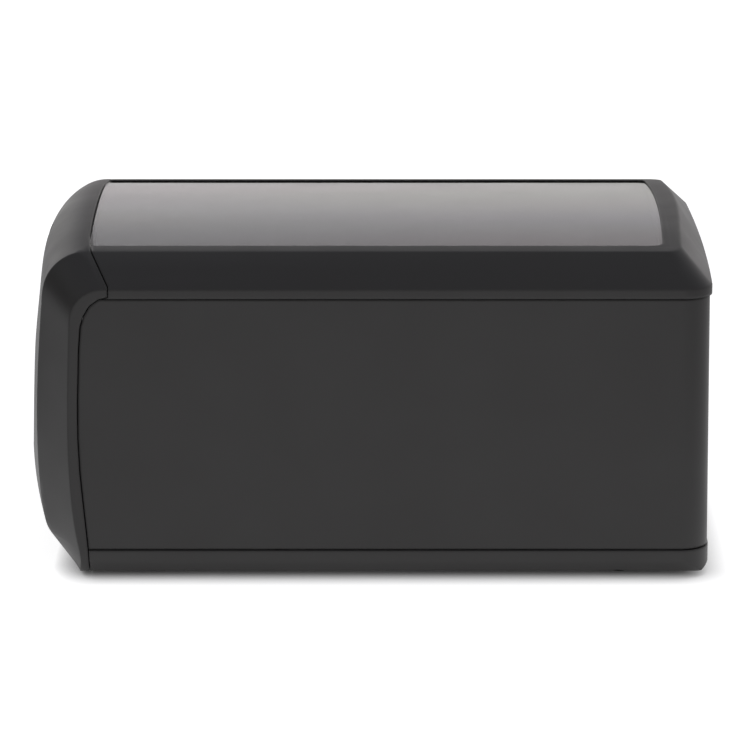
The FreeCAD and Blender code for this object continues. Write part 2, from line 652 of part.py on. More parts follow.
def pusher_carriage():
    x0, x1 = x_carriage, x_carriage + carriage_length
    housing = rod_r + slide_clearance + bush_wall
    parts = [rod_x(x0, x1, s * rod_half, rod_z, housing + 1.1) for s in (-1, 1)]
    parts.append(box(x0 + 3, x1 - 3, -rod_half, rod_half, rod_z - 3.2, rod_z + 3.2))
    parts.append(box(x0 + 2.5, x1 - 2.5, -3.9, 3.9, rod_z, floor_z + 0.4))
    tools = [rod_x(x0 - 1, x1 + 1, s * rod_half, rod_z, housing) for s in (-1, 1)]
    for s in (-1, 1):
        y0, y1 = sorted((s * 8, s * 36))
        tools.append(box(x0 + 6, x1 - 6, y0, y1, rod_z - 5, rod_z + 5))
    tools += [pilot((x, 0, floor_z + 1), (0, 0, -1), 9) for x in (x0 + 6.5, x1 - 6.5)]
    return cut(fuse(parts), tools)


def carriage_bushes():
    out = []
    for s in (-1, 1):
        for x in (x_carriage, x_carriage + carriage_length - 8):
            outer = rod_x(x, x + 8, s * rod_half, rod_z, rod_r + slide_clearance + bush_wall)
            out.append(outer.cut(rod_x(x - 1, x + 9, s * rod_half, rod_z, rod_r + slide_clearance)))
    return out


def pusher_plate():
    x0, x1 = x_pusher, x_pusher + pusher_thickness
    low, high, y = floor_z + 1.2, z0 + tray_level + tray_floor + napkin_height - 4, stack_half - 1.5
    plate = soften(box(x0, x1, -y, y, low, high), 9,
                   lambda e, p: abs(p.x - (x0 + x1) / 2) < 0.01 and p.z > high - 0.1)
    foot_top = floor_z + 2.9
    back = x_carriage + carriage_length - 2.5
    parts = [plate, box(x1 - 0.5, back, -14, 14, floor_z + 0.4, foot_top)]
    for s in (-1, 1):
        parts.append(prism_y([(x1 - 0.5, foot_top - 0.5), (back - 1, foot_top - 0.5), (x1 - 0.5, foot_top + 50)],
                             s * 11 - 1, s * 11 + 1))
        y0, y1 = sorted((s * (y - 2), s * y))
        parts.append(box(x1 - 0.5, x1 + 4, y0, y1, low, high - 10))
    for z in (low + 1, low + 40, high - 14):
        parts.append(box(x1 - 0.5, x1 + 3, -y + 1, y - 1, z, z + 1.8))
    holes = [pilot((x, 0, floor_z), (0, 0, 1), 5) for x in (x_carriage + 6.5, x_carriage + carriage_length - 6.5)]
    return cut(fuse(parts), holes)


def pusher_spring(s):
    x0, x1 = x_spring + 0.05, x_rear_bracket - 0.05
    length = x1 - x0 - 2 * spring_wire_r
    helix = Part.makeHelix(length / spring_coils, length, spring_mean_r)
    ring = Part.Wire(Part.makeCircle(spring_wire_r, V(spring_mean_r, 0, 0), V(0, 1, 0)))
    coil = Part.Wire(helix.Edges).makePipeShell([ring], True, True)
    coil.rotate(V(0, 0, 0), V(0, 1, 0), 90)
    coil.translate(V(x0 + spring_wire_r, s * rod_half, rod_z))
    return coil


# ---- weights, feet and screw groups -----------------------------------------------------
def ballast_bars():
    out = []
    for s in (-1, 1):
        y0, y1 = sorted((s * ballast_y[0], s * ballast_y[1]))
        bar = soften(box(*ballast_x, y0, y1, z0 + wall, z0 + wall + 6), 0.8,
                     lambda e, p: abs(p.z - z0 - wall - 6) < 0.01)
        out.append(bar.cut([pilot((x, y, z0), (0, 0, 1), 7.5) for x, y in ballast_screw]))
    return out


def rubber_feet():
    out = []
    for x, y in foot_at:
        disc = fuse([post(x, y, 0.4, z0 + 1.0, foot_r),
                     Part.makeCone(foot_r - 0.6, foot_r, 0.4, V(x, y, 0))])
        out.append(disc)
    return out


def base_screws():
    return [screw((x, s * body_boss_y, z0 + base_sink), (0, 0, 1), 16) for x in body_boss_x for s in (-1, 1)]


def cover_screws():
    return [screw((x, s * cover_tab_y, cover_tab_z - 2.5), (0, 0, 1), 10) for x in cover_tab_x
            for s in (-1, 1)]


def insert_screws():
    return [screw((x_insert + 2, y, z), (-1, 0, 0), 10) for y, z in insert_boss]


def tray_screws():
    return [screw((x, y, floor_z), (0, 0, -1), 9, 2.8, 1.1) for x, y in tray_post]


def bracket_screws():
    return [screw((x, s * bracket_screw_y, z0 + 0.9), (0, 0, 1), 7.5, 2.8, 0.85)
            for x in (x_bracket + 2, x_rear_bracket + 2) for s in (-1, 1)]


def ballast_screws():
    return [screw((x, y, z0 + 0.9), (0, 0, 1), 6, 2.8, 0.85) for x, y in ballast_screw]


def strike_screws():
    z = crown_z - pocket_depth - 4.8
    return [screw((strike_x + 5.5, s * strike_screw_y, z), (0, 0, 1), 4.4, 2.6, 1.2) for s in (-1, 1)]


def pusher_screws():
    return [screw((x, 0, floor_z + 2.9), (0, 0, -1), 8)
            for x in (x_carriage + 6.5, x_carriage + carriage_length - 6.5)]


# ---- the nodes --------------------------------------------------------------------------
nodes = {
    "base_tray": base_tray, "body_shell": body_shell, "top_cover": top_cover,
    "display_window": display_window, "front_bezel": front_bezel, "mouth_insert": mouth_insert,
    "hinge_pins": hinge_pins, "lock_sleeve": lock_sleeve, "lock_barrel": lock_barrel,
    "lock_nut": lock_nut, "lock_cam": lock_cam, "cam_screw": cam_screw, "lock_strike": lock_strike,
    "magazine_tray": magazine_tray, "guide_rods": guide_rods,
    "rod_bracket_front": lambda: rod_bracket(x_bracket),
    "rod_bracket_rear": lambda: rod_bracket(x_rear_bracket),
    "pusher_carriage": pusher_carriage, "carriage_bushes": carriage_bushes,
    "pusher_plate": pusher_plate, "pusher_spring_left": lambda: pusher_spring(-1),
    "pusher_spring_right": lambda: pusher_spring(1), "ballast_bars": ballast_bars,
    "rubber_feet": rubber_feet, "base_screws": base_screws, "cover_screws": cover_screws,
    "insert_screws": insert_screws, "tray_screws": tray_screws, "bracket_screws": bracket_screws,
    "ballast_screws": ballast_screws, "strike_screws": strike_screws, "pusher_screws": pusher_screws,
}

if __name__ == "__main__":
    os.makedirs("parts", exist_ok=True)
    for name, make in nodes.items():
        made = make()
        shape = Part.makeCompound(made) if isinstance(made, list) else made
        if not shape.isValid():
            print("invalid", name)
        print(name, len(shape.Solids), round(shape.Volume, 1))
        shape.exportStep(os.path.join("parts", name + ".step"))
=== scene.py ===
"""Countertop interfold-napkin dispenser: finishes, fine pieces, light and camera.

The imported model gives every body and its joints. This script dresses those nodes, and
builds finer pieces where a mesh made here shows the real part better: softened moulded
shells, the clear display window, the pusher's springs and the screws.
"""
import json
import logging
import math
from dataclasses import dataclass, field
from enum import Enum
from typing import Any, Iterable, Sequence

import bmesh
import bpy
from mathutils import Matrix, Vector

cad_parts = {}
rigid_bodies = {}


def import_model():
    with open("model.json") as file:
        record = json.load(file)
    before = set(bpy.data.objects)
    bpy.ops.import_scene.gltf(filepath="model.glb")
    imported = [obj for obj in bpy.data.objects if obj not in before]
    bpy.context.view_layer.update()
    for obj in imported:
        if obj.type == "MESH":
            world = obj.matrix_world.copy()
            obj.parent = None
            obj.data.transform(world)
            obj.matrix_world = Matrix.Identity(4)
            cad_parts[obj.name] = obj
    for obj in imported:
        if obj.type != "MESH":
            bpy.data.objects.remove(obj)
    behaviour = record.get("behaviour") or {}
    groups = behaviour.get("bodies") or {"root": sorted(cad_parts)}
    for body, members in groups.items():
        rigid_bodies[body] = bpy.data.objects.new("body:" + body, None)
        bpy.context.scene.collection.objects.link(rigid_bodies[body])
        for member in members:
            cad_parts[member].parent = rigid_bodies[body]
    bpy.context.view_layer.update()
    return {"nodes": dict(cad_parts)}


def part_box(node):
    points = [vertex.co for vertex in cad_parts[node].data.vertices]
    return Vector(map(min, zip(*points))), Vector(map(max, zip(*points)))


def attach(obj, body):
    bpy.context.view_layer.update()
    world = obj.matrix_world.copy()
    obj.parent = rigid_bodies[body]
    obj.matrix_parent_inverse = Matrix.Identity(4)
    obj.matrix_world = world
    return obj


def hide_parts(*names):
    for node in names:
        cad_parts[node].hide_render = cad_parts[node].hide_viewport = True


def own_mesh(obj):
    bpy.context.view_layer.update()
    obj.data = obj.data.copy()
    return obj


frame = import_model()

logging.basicConfig(level=logging.INFO, format="%(name)s: %(message)s")
log = logging.getLogger("napkin_dispenser")

MM = 0.001
CROWN_RISE = 5.5 * MM         # crown over the creases at its sides
CREASE_HALF = 80.0 * MM       # those creases, each side of the middle
MIX_A, MIX_B, MIX_RESULT = 6, 7, 2     # the colour sockets of a mix node

Triple = tuple[float, float, float]
Value = bpy.types.NodeSocket | float


# ---- colour and node helpers ------------------------------------------------------------
def linear(hex_colour: str) -> tuple[float, float, float, float]:
    """Turn an sRGB hex colour into linear light.

    Args:
        hex_colour: six hex digits.

    Returns:
        Red, green and blue in linear light, and full cover.
    """
    parts = [int(hex_colour[i:i + 2], 16) / 255 for i in (0, 2, 4)]
    light = [c / 12.92 if c <= 0.04045 else ((c + 0.055) / 1.055) ** 2.4 for c in parts]
    return (light[0], light[1], light[2], 1.0)


def add_node(tree: bpy.types.NodeTree, kind: str, links: dict[Any, Any] | None = None,
             **settings: Any) -> bpy.types.Node:
    """Add a node with its settings, socket values and incoming links.

    Args:
        tree: node tree that gets the node.
        kind: the node's type name.
        links: input name or index to an output socket, or to a plain value.
        **settings: attributes set on the node.

    Returns:
        The new node.
    """
    node = tree.nodes.new(kind)
    for name, value in settings.items():
        setattr(node, name, value)
    for key, value in (links or {}).items():
        socket = node.inputs[key]
        if isinstance(value, bpy.types.NodeSocket):
            tree.links.new(value, socket)
        else:
            socket.default_value = value
    return node


def calc(tree: bpy.types.NodeTree, operation: str, *values: Value) -> bpy.types.NodeSocket:
    """Add one sum.

    Args:
        tree: node tree that gets it.
        operation: the math node's operation.
        *values: its terms.

    Returns:
        The socket of the result.
    """
    return add_node(tree, "ShaderNodeMath", dict(enumerate(values)), operation=operation).outputs[0]


def remap(tree: bpy.types.NodeTree, value: bpy.types.NodeSocket, span: tuple[float, float],
          to: tuple[float, float] = (0.0, 1.0), smooth: bool = True) -> bpy.types.NodeSocket:
    """Carry a value from one range to another.

    Args:
        tree: node tree that gets the node.
        value: what is carried over.
        span: range of the value.
        to: range of the result.
        smooth: whether it eases in and out at both ends.

    Returns:
        The socket of the result.
    """
    return add_node(tree, "ShaderNodeMapRange", {
        "Value": value, "From Min": span[0], "From Max": span[1], "To Min": to[0], "To Max": to[1]},
        interpolation_type="SMOOTHSTEP" if smooth else "LINEAR").outputs["Result"]


def mix(tree: bpy.types.NodeTree, share: Value, first: Any, second: Any,
        blend: str = "MIX") -> bpy.types.NodeSocket:
    """Mix two colours.

    Args:
        tree: node tree that gets the node.
        share: how much of the second shows.
        first: a colour or its socket.
        second: a colour or its socket.
        blend: how the second is laid over the first.

    Returns:
        The socket of the mixed colour.
    """
    node = add_node(tree, "ShaderNodeMix", {"Factor": share, MIX_A: first, MIX_B: second},
                    data_type="RGBA", blend_type=blend)
    return node.outputs[MIX_RESULT]


class Paint:
    """A new material with its shader and its object coordinates."""

    def __init__(self, name: str) -> None:
        """Make the material.

        Args:
            name: its name, which says material and process.
        """
        self.material = bpy.data.materials.new(name)
        self.material.use_nodes = True
        self.tree = self.material.node_tree
        self.shader = self.tree.nodes["Principled BSDF"]
        self.place = add_node(self.tree, "ShaderNodeTexCoord").outputs["Object"]

    def set(self, **sockets: Value | tuple[float, ...]) -> None:
        """Set or link the shader's sockets.

        Args:
            **sockets: socket names, with _ for a space, and a plain value or a socket.
        """
        for name, value in sockets.items():
            socket = self.shader.inputs[name.replace("_", " ")]
            if isinstance(value, bpy.types.NodeSocket):
                self.tree.links.new(value, socket)
            else:
                socket.default_value = value

    def noise(self, pitch_mm: float, detail: float, place: bpy.types.NodeSocket | None = None,
              **more: float) -> bpy.types.NodeSocket:
        """Add a noise pattern.

        Args:
            pitch_mm: size of its grains.
            detail: how many finer layers it has.
            place: coordinates, when they are not the object's.
            **more: other sockets of the noise.

        Returns:
            The socket of its height.
        """
        return add_node(self.tree, "ShaderNodeTexNoise", {
            "Vector": self.place if place is None else place,
            "Scale": 1.0 / (pitch_mm * MM), "Detail": detail, **more}).outputs["Fac"]

    def bump(self, height: bpy.types.NodeSocket, depth_mm: float,
             strength: float) -> bpy.types.Node:
        """Add a bump and link it to the shader.

        Args:
            height: pattern that it follows.
            depth_mm: full depth of the pattern.
            strength: how much of it shows.

        Returns:
            The bump node.
        """
        node = add_node(self.tree, "ShaderNodeBump", {
            "Height": height, "Distance": depth_mm * MM, "Strength": strength})
        self.set(Normal=node.outputs["Normal"])
        return node


# ---- finishes ---------------------------------------------------------------------------
class Grain(Enum):
    """Face of the mould, by how much of its grain shows."""

    FINE = 0.55
    PLAIN = 0.12


@dataclass(frozen=True)
class MouldedPlastic:
    """Injection-moulded plastic, textured or plain as its mould was."""

    name: str
    colour: str
    worn_colour: str
    roughness: float
    grain: Grain = Grain.FINE
    grain_mm: float = 0.55
    depth_mm: float = 0.03
    drift_mm: float = 34.0                      # size of the uneven patches in the sheen
    sheen: tuple[float, float] = (0.03, 0.04)   # how far they go below and above
    crease_mm: float = 0.0

    def build(self) -> bpy.types.Material:
        """Make the material.

        Returns:
            A principled material with moulded grain and a slight uneven sheen.
        """
        paint = Paint(self.name)
        grain = paint.noise(self.grain_mm, 2.0, Roughness=0.6)
        drift = paint.noise(self.drift_mm, 3.0, Roughness=0.55)
        low, high = self.sheen
        paint.set(
            IOR=1.5,
            Base_Color=mix(paint.tree, drift, linear(self.colour), linear(self.worn_colour)),
            Roughness=remap(paint.tree, drift, (0.3, 0.7),
                            (self.roughness - low, self.roughness + high), smooth=False))
        bump = paint.bump(grain, self.depth_mm, self.grain.value)
        if self.crease_mm:
            soft = add_node(paint.tree, "ShaderNodeBevel", {"Radius": self.crease_mm * MM},
                            samples=4)
            paint.tree.links.new(soft.outputs["Normal"], bump.inputs["Normal"])
        return paint.material


@dataclass(frozen=True)
class ClearAcrylic:
    """Clear injection-moulded acrylic with a polished face."""

    name: str
    tint: str
    roughness: float = 0.03
    flow_mm: float = 45.0

    def build(self) -> bpy.types.Material:
        """Make the material.

        Returns:
            A clear glossy material with a faint flow unevenness.
        """
        paint = Paint(self.name)
        paint.set(Base_Color=linear(self.tint), Transmission_Weight=1.0, IOR=1.49,
                  Roughness=self.roughness)
        paint.bump(paint.noise(self.flow_mm, 1.0), 0.35, 0.25)
        return paint.material


@dataclass(frozen=True)
class Metal:
    """Bare or plated metal with the marks of how it was made."""

    name: str
    colour: str
    roughness: float
    mark_mm: float = 0.4
    along: Triple = (1.0, 1.0, 1.0)
    dulling: float = 0.8        # brightness left in the marks
    gloss_swing: float = 0.06

    def build(self) -> bpy.types.Material:
        """Make the material.

        Returns:
            A metal with fine drawn or rolled marks in its gloss.
        """
        paint = Paint(self.name)
        turned = add_node(paint.tree, "ShaderNodeMapping",
                          {"Vector": paint.place, "Scale": self.along})
        marks = paint.noise(self.mark_mm, 3.0, turned.outputs["Vector"])
        bright = linear(self.colour)
        dull = (*(self.dulling * c for c in bright[:3]), 1.0)
        low, high = self.roughness - self.gloss_swing, self.roughness + self.gloss_swing
        paint.set(
            Metallic=1.0,
            Base_Color=mix(paint.tree, marks, dull, bright),
            Roughness=remap(paint.tree, marks, (0.3, 0.7), (low, high), smooth=False))
        return paint.material


@dataclass(frozen=True)
class Rubber:
    """Compression-moulded rubber with a dull, dusty face."""

    name: str
    colour: str
    bloom_colour: str = "3a3937"
    bloom_mm: float = 1.2

    def build(self) -> bpy.types.Material:
        """Make the material.

        Returns:
            A dull dark material with a fine bloom.
        """
        paint = Paint(self.name)
        bloom = paint.noise(self.bloom_mm, 4.0)
        paint.set(Roughness=0.82, IOR=1.52,
                  Base_Color=mix(paint.tree, bloom, linear(self.colour), linear(self.bloom_colour)))
        return paint.material


class Finishes:
    """The finishes of this object, each made once."""

    def __init__(self) -> None:
        """Make every material."""
        # textured ABS: black, dull, with a fine spark-eroded grain that scatters highlights
        self.shell = MouldedPlastic("black_abs_spark_textured", "151414", "1a1818", 0.46,
                                    crease_mm=1.6).build()
        # plain ABS inside: dark grey, a little smoother, with hardly any grain
        self.inner = MouldedPlastic("charcoal_abs_plain_moulded", "2b2b2d", "323234", 0.42,
                                    Grain.PLAIN, 0.9, crease_mm=0.4).build()
        # acetal: off-white, waxy
        self.bush = MouldedPlastic("acetal_turned", "d8d4c8", "dedacf", 0.33, Grain.PLAIN).build()
        # acrylic: clear, mirror-like at low angles
        self.window = ClearAcrylic("clear_acrylic_polished", "f4f6f6").build()
        # zinc-plated steel: pale grey, satin, drawn along its length
        self.rod = Metal("steel_drawn_zinc_plated", "b9bab8", 0.3, 0.25, (0.05, 1, 1)).build()
        self.plated = Metal("steel_pressed_zinc_plated", "aeb0ae", 0.36, 0.5).build()
        # spring wire: darker, oil-tempered
        self.wire = Metal("spring_steel_oil_tempered", "8d8c89", 0.32, 0.3).build()
        # die-cast zinc: satin chrome
        self.lock = Metal("zinc_diecast_satin_chromed", "c9cacb", 0.22, 0.35).build()
        # hot-rolled bar: dark scale
        self.ballast = Metal("steel_bar_rolled", "6d6c6a", 0.5, 1.5, (0.2, 1, 1)).build()
        # screws: plated
        self.screw = Metal("screw_steel_zinc_plated", "b4b5b3", 0.3, 0.2).build()
        # rubber: black, dusty
        self.foot = Rubber("rubber_compression_moulded", "232221").build()


def dress(node: str, material: bpy.types.Material) -> None:
    """Give a CAD node its finish.

    Args:
        node: name of the CAD node.
        material: the finish.
    """
    mesh = frame["nodes"][node].data
    mesh.materials.clear()
    mesh.materials.append(material)
    log.info("%s dressed in %s", node, material.name)


# ---- meshes -----------------------------------------------------------------------------
WELD = 0.004 * MM               # points of a CAD shell closer than this are one


def soft_copy(node: str, name: str, body: str, material: bpy.types.Material,
              sharp_deg: float = 24.0) -> bpy.types.Object:
    """Copy a CAD shell as one merged mesh with smooth curved faces.

    Args:
        node: CAD node that is copied and replaced.
        name: name of the new piece.
        body: body that it rides on.
        material: its finish.
        sharp_deg: edges that turn more than this stay sharp.

    Returns:
        The new piece.
    """
    source = frame["nodes"][node].data
    work = bmesh.new()
    work.from_mesh(source)
    bmesh.ops.remove_doubles(work, verts=work.verts, dist=WELD)
    limit = math.radians(sharp_deg)
    for face in work.faces:
        face.smooth = True
    for edge in work.edges:
        edge.smooth = len(edge.link_faces) == 2 and edge.calc_face_angle(0.0) < limit
    mesh = bpy.data.meshes.new(name)
    work.to_mesh(mesh)
    work.free()
    mesh.materials.append(material)
    piece = bpy.data.objects.new(name, mesh)
    bpy.context.scene.collection.objects.link(piece)
    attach(piece, body)
    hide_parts(node)
    log.info("%s stands for %s on %s", name, node, body)
    return piece


@dataclass
class NodeTreeInput:
    """One named size of a geometry tree."""

    name: str
    value: float | int
    kind: str = "NodeSocketFloat"


class GeometryTree:
    """A geometry tree built in code, with named sizes, that becomes one plain mesh."""

    def __init__(self, name: str, sizes: Sequence[NodeTreeInput]) -> None:
        """Make an empty tree with its inputs.

        Args:
            name: the tree's name.
            sizes: the named inputs.
        """
        self.tree = bpy.data.node_groups.new(name, "GeometryNodeTree")
        face = self.tree.interface
        face.new_socket("Geometry", in_out="INPUT", socket_type="NodeSocketGeometry")
        self.ids: dict[str, tuple[str, float | int]] = {}
        for size in sizes:
            socket = face.new_socket(size.name, in_out="INPUT", socket_type=size.kind)
            self.ids[size.name] = (socket.identifier, size.value)
        face.new_socket("Geometry", in_out="OUTPUT", socket_type="NodeSocketGeometry")
        self.start = self.add("NodeGroupInput")

    def add(self, kind: str, links: dict[Any, Any] | None = None,
            **settings: Any) -> bpy.types.Node:
        """Add a node to the tree.

        Args:
            kind: the node's type name.
            links: input name or index to an output socket, or to a plain value.
            **settings: attributes set on the node.

        Returns:
            The new node.
        """
        return add_node(self.tree, kind, links, **settings)

    def size(self, name: str) -> bpy.types.NodeSocket:
        """Find the socket that carries a named size.

        Args:
            name: the size's name.

        Returns:
            Its socket.
        """
        return self.start.outputs[name]

    def math(self, operation: str, *values: Value) -> bpy.types.NodeSocket:
        """Add one sum.

        Args:
            operation: the math node's operation.
            *values: its terms.

        Returns:
            The socket of the result.
        """
        return calc(self.tree, operation, *values)

    def level(self, height: Value) -> bpy.types.NodeSocket:
        """Make a vector that points straight up.

        Args:
            height: its length.

        Returns:
            The socket of the vector.
        """
        return self.add("ShaderNodeCombineXYZ", {"Z": height}).outputs[0]

    def finish(self, geometry: bpy.types.NodeSocket, material: bpy.types.Material) -> None:
        """Close the tree with realised instances and its finish.

        Args:
            geometry: what the tree made.
            material: finish of all of it.
        """
        real = self.add("GeometryNodeRealizeInstances", {"Geometry": geometry})
        done = self.add("GeometryNodeSetMaterial",
                        {"Geometry": real.outputs["Geometry"], "Material": material})
        self.add("NodeGroupOutput", {"Geometry": done.outputs["Geometry"]})

    def run(self, name: str, points: Iterable[Vector] = ()) -> bpy.types.Object:
        """Evaluate the tree into a plain mesh object at the origin.

        Args:
            name: name of the finished piece.
            points: points handed to the tree as loose vertices.

        Returns:
            The finished piece, without a modifier.
        """
        seed = bpy.data.meshes.new(name + "_seed")
        seed.from_pydata([tuple(p) for p in points], [], [])
        carrier = bpy.data.objects.new(name + "_carrier", seed)
        bpy.context.scene.collection.objects.link(carrier)
        modifier = carrier.modifiers.new("tree", "NODES")
        modifier.node_group = self.tree
        for identifier, value in self.ids.values():
            modifier[identifier] = value
        graph = bpy.context.evaluated_depsgraph_get()
        mesh = bpy.data.meshes.new_from_object(carrier.evaluated_get(graph), depsgraph=graph)
        mesh.name = name
        bpy.data.objects.remove(carrier)
        piece = bpy.data.objects.new(name, mesh)
        bpy.context.scene.collection.objects.link(piece)
        return piece


# ---- sub-assemblies ---------------------------------------------------------------------
@dataclass
class ScrewGroup:
    """Identical pan-head screws that share one CAD node."""

    node: str
    body: str
    head: Triple
    stations: list[Triple]
    length: float
    head_r: float = 2.8 * MM
    head_h: float = 1.6 * MM
    shank_r: float = 1.5 * MM
    dome: float = 0.62          # share of the head's section that is gone at its top
    dome_power: float = 5.0
    recess_w: float = 0.62 * MM
    recess_reach: float = 1.25  # length of the recess bars to the head's radius
    rings: int = 9              # steps up the head
    head_sides: int = 28
    shank_sides: int = 20

    def tree(self, material: bpy.types.Material) -> GeometryTree:
        """Describe one screw and set it at each point.

        Args:
            material: finish of the screws.

        Returns:
            The tree.
        """
        t = GeometryTree("screw_group", [
            NodeTreeInput("Head radius", self.head_r), NodeTreeInput("Head height", self.head_h),
            NodeTreeInput("Shank radius", self.shank_r), NodeTreeInput("Length", self.length)])
        # the head is a low dome: a line along the axis whose radius falls towards the top
        line = t.add("GeometryNodeCurvePrimitiveLine")
        t.tree.links.new(t.level(t.size("Head height")), line.inputs["End"])
        steps = t.add("GeometryNodeResampleCurve", {"Curve": line.outputs[0], "Count": self.rings})
        along = t.add("GeometryNodeSplineParameter").outputs["Factor"]
        fall = t.math("MULTIPLY", t.math("POWER", along, self.dome_power), self.dome)
        ring = t.math("SQRT", t.math("SUBTRACT", 1.0, fall))
        radius = t.add("GeometryNodeSetCurveRadius", {
            "Curve": steps.outputs[0], "Radius": t.math("MULTIPLY", ring, t.size("Head radius"))})
        profile = t.add("GeometryNodeCurvePrimitiveCircle",
                        {"Resolution": self.head_sides, "Radius": 1.0})
        head = t.add("GeometryNodeCurveToMesh", {
            "Curve": radius.outputs[0], "Profile Curve": profile.outputs[0], "Fill Caps": True,
            "Scale": t.add("GeometryNodeInputRadius").outputs[0]})
        # the cross recess is two bars cut from the top of the head
        arm = t.add("ShaderNodeCombineXYZ", {
            "X": t.math("MULTIPLY", t.size("Head radius"), self.recess_reach),
            "Y": self.recess_w,
            "Z": t.math("MULTIPLY", t.size("Head height"), 1.2)})
        bar = t.add("GeometryNodeMeshCube", {"Size": arm.outputs[0]})
        one = t.add("GeometryNodeTransform", {
            "Geometry": bar.outputs[0],
            "Translation": t.level(t.math("MULTIPLY", t.size("Head height"), 1.05))})
        two = t.add("GeometryNodeTransform", {
            "Geometry": one.outputs[0], "Rotation": (0.0, 0.0, math.pi / 2)})
        cut = t.add("GeometryNodeMeshBoolean", {0: head.outputs[0], 1: one.outputs[0]},
                    operation="DIFFERENCE")
        t.tree.links.new(two.outputs[0], cut.inputs[1])
        shank = t.add("GeometryNodeMeshCylinder", {
            "Vertices": self.shank_sides, "Radius": t.size("Shank radius"),
            "Depth": t.size("Length")})
        low = t.add("GeometryNodeTransform", {
            "Geometry": shank.outputs["Mesh"],
            "Translation": t.level(t.math("MULTIPLY", t.size("Length"), -0.5))})
        screw = t.add("GeometryNodeJoinGeometry", {"Geometry": low.outputs[0]})
        t.tree.links.new(cut.outputs["Mesh"], screw.inputs["Geometry"])
        turn = Vector(self.head).to_track_quat("Z", "X").to_euler()
        aimed = t.add("GeometryNodeTransform", {
            "Geometry": screw.outputs[0], "Rotation": tuple(turn)})
        dots = t.add("GeometryNodeMeshToPoints", {"Mesh": t.start.outputs["Geometry"]})
        many = t.add("GeometryNodeInstanceOnPoints", {
            "Points": dots.outputs[0], "Instance": aimed.outputs[0]})
        t.finish(many.outputs[0], material)
        return t

    def build(self, material: bpy.types.Material) -> bpy.types.Object:
        """Build the screws and stand them for their node.

        Args:
            material: finish of the screws.

        Returns:
            The finished group.
        """
        low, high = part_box(self.node)
        axis = max(range(3), key=lambda i: abs(self.head[i]))
        level = high[axis] - self.head_h if self.head[axis] > 0 else low[axis] + self.head_h
        points = [Vector(p) for p in self.stations]
        for point in points:
            point[axis] = level
        piece = self.tree(material).run(self.node + "_set", points)
        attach(piece, self.body)
        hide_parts(self.node)
        log.info("%s: %d screws on %s", piece.name, len(self.stations), self.body)
        return piece


@dataclass
class PusherSprings:
    """The two long compression springs behind the pusher's carriage."""

    front_x: float = -91.49 * MM
    rear_x: float = 133.95 * MM
    half_gap: float = 45.0 * MM
    level: float = 9.3 * MM
    mean_r: float = 3.2 * MM
    wire_r: float = 0.4 * MM
    coils: int = 30
    steps: int = 22             # straight steps in a coil
    sides: int = 8              # flats round the wire
    travel: float = 195.0 * MM
    end_gap: float = 0.6 * MM   # kept free of the carriage when fully loaded

    def build(self, material: bpy.types.Material) -> None:
        """Wind both springs along the guide rods.

        Args:
            material: the wire's finish.
        """
        run = self.rear_x - self.front_x
        for side, node in ((-1, "pusher_spring_left"), (1, "pusher_spring_right")):
            t = GeometryTree("spring", [
                NodeTreeInput("Mean radius", self.mean_r),
                NodeTreeInput("Wire radius", self.wire_r),
                NodeTreeInput("Length", run - 2 * self.wire_r),
                NodeTreeInput("Coils", float(self.coils)),
                NodeTreeInput("Steps a coil", self.steps, "NodeSocketInt")])
            spiral = t.add("GeometryNodeCurveSpiral", {
                "Resolution": t.size("Steps a coil"), "Rotations": t.size("Coils"),
                "Start Radius": t.size("Mean radius"), "End Radius": t.size("Mean radius"),
                "Height": t.size("Length")})
            wire = t.add("GeometryNodeCurvePrimitiveCircle", {
                "Resolution": self.sides, "Radius": t.size("Wire radius")})
            swept = t.add("GeometryNodeCurveToMesh", {
                "Curve": spiral.outputs[0], "Profile Curve": wire.outputs[0], "Fill Caps": True})
            laid = t.add("GeometryNodeTransform", {
                "Geometry": swept.outputs[0], "Rotation": (0.0, math.pi / 2, 0.0),
                "Translation": (self.front_x + self.wire_r, side * self.half_gap, self.level)})
            t.finish(laid.outputs[0], material)
            piece = t.run(node + "_coil")
            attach(piece, "housing")
            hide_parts(node)
            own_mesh(piece)
            log.info("%s wound with %d coils", piece.name, self.coils)


